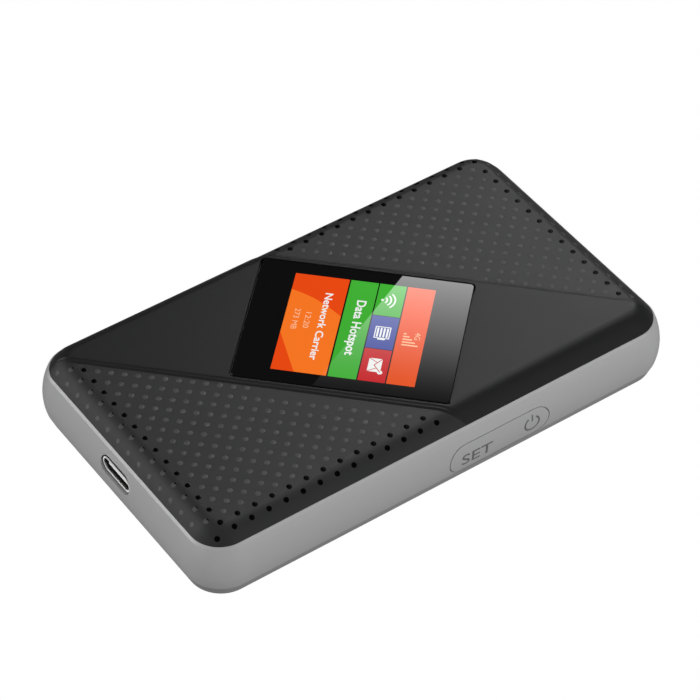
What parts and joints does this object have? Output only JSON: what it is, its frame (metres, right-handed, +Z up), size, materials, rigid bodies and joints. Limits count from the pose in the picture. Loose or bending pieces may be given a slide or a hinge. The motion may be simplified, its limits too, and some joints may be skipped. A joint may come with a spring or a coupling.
{
  "type": "mobile hotspot",
  "caption": "Flat pocket router with a silver-grey case, a dotted black top, a diagonal band holding a small square display, a rocker key and a USB-C port.",
  "frame": {"origin": "middle of the underside", "axes": "+X along the case away from the charging port, -Y towards the rocker key, +Z up through the display"},
  "size_m": [0.1044, 0.0608, 0.0155],
  "materials": {
    "cover_black": "satin black moulded plastic with raised grip dots",
    "frame_silver": "satin silver-grey painted plastic",
    "door_silver": "satin silver-grey painted plastic",
    "window_black": "polished black-backed acrylic",
    "adhesive_black": "black foam tape",
    "lcd_glass": "LCD glass",
    "backlight_white": "white light guide frame",
    "foam_grey": "closed-cell foam",
    "flex_amber": "polyimide ribbon",
    "socket_ivory": "connector plastic",
    "board_green": "solder mask",
    "can_steel": "tinned steel sheet",
    "copper_foil": "copper foil",
    "chip_black": "moulded package",
    "passive_tan": "ceramic chip parts",
    "port_steel": "bright nickel-plated shell",
    "port_plastic": "black insulator",
    "pin_steel": "ground steel",
    "switch_body": "switch housing",
    "switch_plunger": "nylon plunger",
    "battery_wrap": "wrapped lithium pouch",
    "label_white": "plain paper-like label",
    "contact_gold": "gold-plated contacts",
    "antenna_copper": "antenna flex",
    "screw_steel": "zinc-plated screws"
  },
  "bodies": {
    "chassis": {"top_cover": "cover_black", "display_window": "window_black", "window_adhesive": "adhesive_black", "lcd_panel": "lcd_glass", "lcd_backlight_frame": "backlight_white", "lcd_foam_pads": "foam_grey", "lcd_flex": "flex_amber", "lcd_connector": "socket_ivory", "main_board": "board_green", "modem_shield": "can_steel", "wifi_shield": "can_steel", "power_shield": "can_steel", "heat_spreader": "copper_foil", "memory_chip": "chip_black", "charger_chip": "chip_black", "board_passives": "passive_tan", "sim_holder": "can_steel", "usb_c_shell": "port_steel", "usb_c_tongue": "port_plastic", "key_pivot_pin": "pin_steel", "pairing_switch_body": "switch_body", "power_switch_body": "switch_body", "reset_switch_body": "switch_body", "battery_connector": "port_plastic", "connector_springs": "contact_gold", "main_antenna": "antenna_copper", "diversity_antenna": "antenna_copper", "wifi_antenna": "antenna_copper", "case_screws": "screw_steel", "middle_frame": "frame_silver"},
    "key": {"rocker_key": "frame_silver"},
    "pairing_plunger": {"pairing_switch_plunger": "switch_plunger"},
    "power_plunger": {"power_switch_plunger": "switch_plunger"},
    "door": {"rear_cover": "door_silver"},
    "battery": {"battery_pack": "battery_wrap", "battery_label": "label_white", "battery_contacts": "contact_gold"},
    "reset_button": {"reset_plunger": "switch_plunger"}
  },
  "joints": [
    {"name": "key_rock", "type": "hinge", "parent": "chassis", "child": "key", "pos_m": [0.011, -0.0266, 0.0057], "axis": [0, 0, 1], "range_deg": [-1.5, 1.5], "stiffness_Nm_per_rad": 0.3},
    {"name": "pairing_press", "type": "slide", "parent": "chassis", "child": "pairing_plunger", "axis": [0, 1, 0], "range_m": [-0.00025, 0.00025]},
    {"name": "power_press", "type": "slide", "parent": "chassis", "child": "power_plunger", "axis": [0, 1, 0], "range_m": [-0.00025, 0.00025]},
    {"name": "door_off", "type": "slide", "parent": "chassis", "child": "door", "axis": [0, 0, -1], "range_m": [0, 0.06]},
    {"name": "battery_out", "type": "slide", "parent": "chassis", "child": "battery", "axis": [0, 0, -1], "range_m": [0, 0.03]},
    {"name": "reset_press", "type": "slide", "parent": "chassis", "child": "reset_button", "axis": [0, 0, 1], "range_m": [0, 0.00025], "stiffness_N_per_m": 4000}
  ],
  "couplings": [
    {"joint": "pairing_press", "follows": "key_rock", "m_per_rad": -0.0077},
    {"joint": "power_press", "follows": "key_rock", "m_per_rad": 0.0077},
    {"joint": "battery_out", "follows": "door_off", "ratio": 0.5}
  ]
}
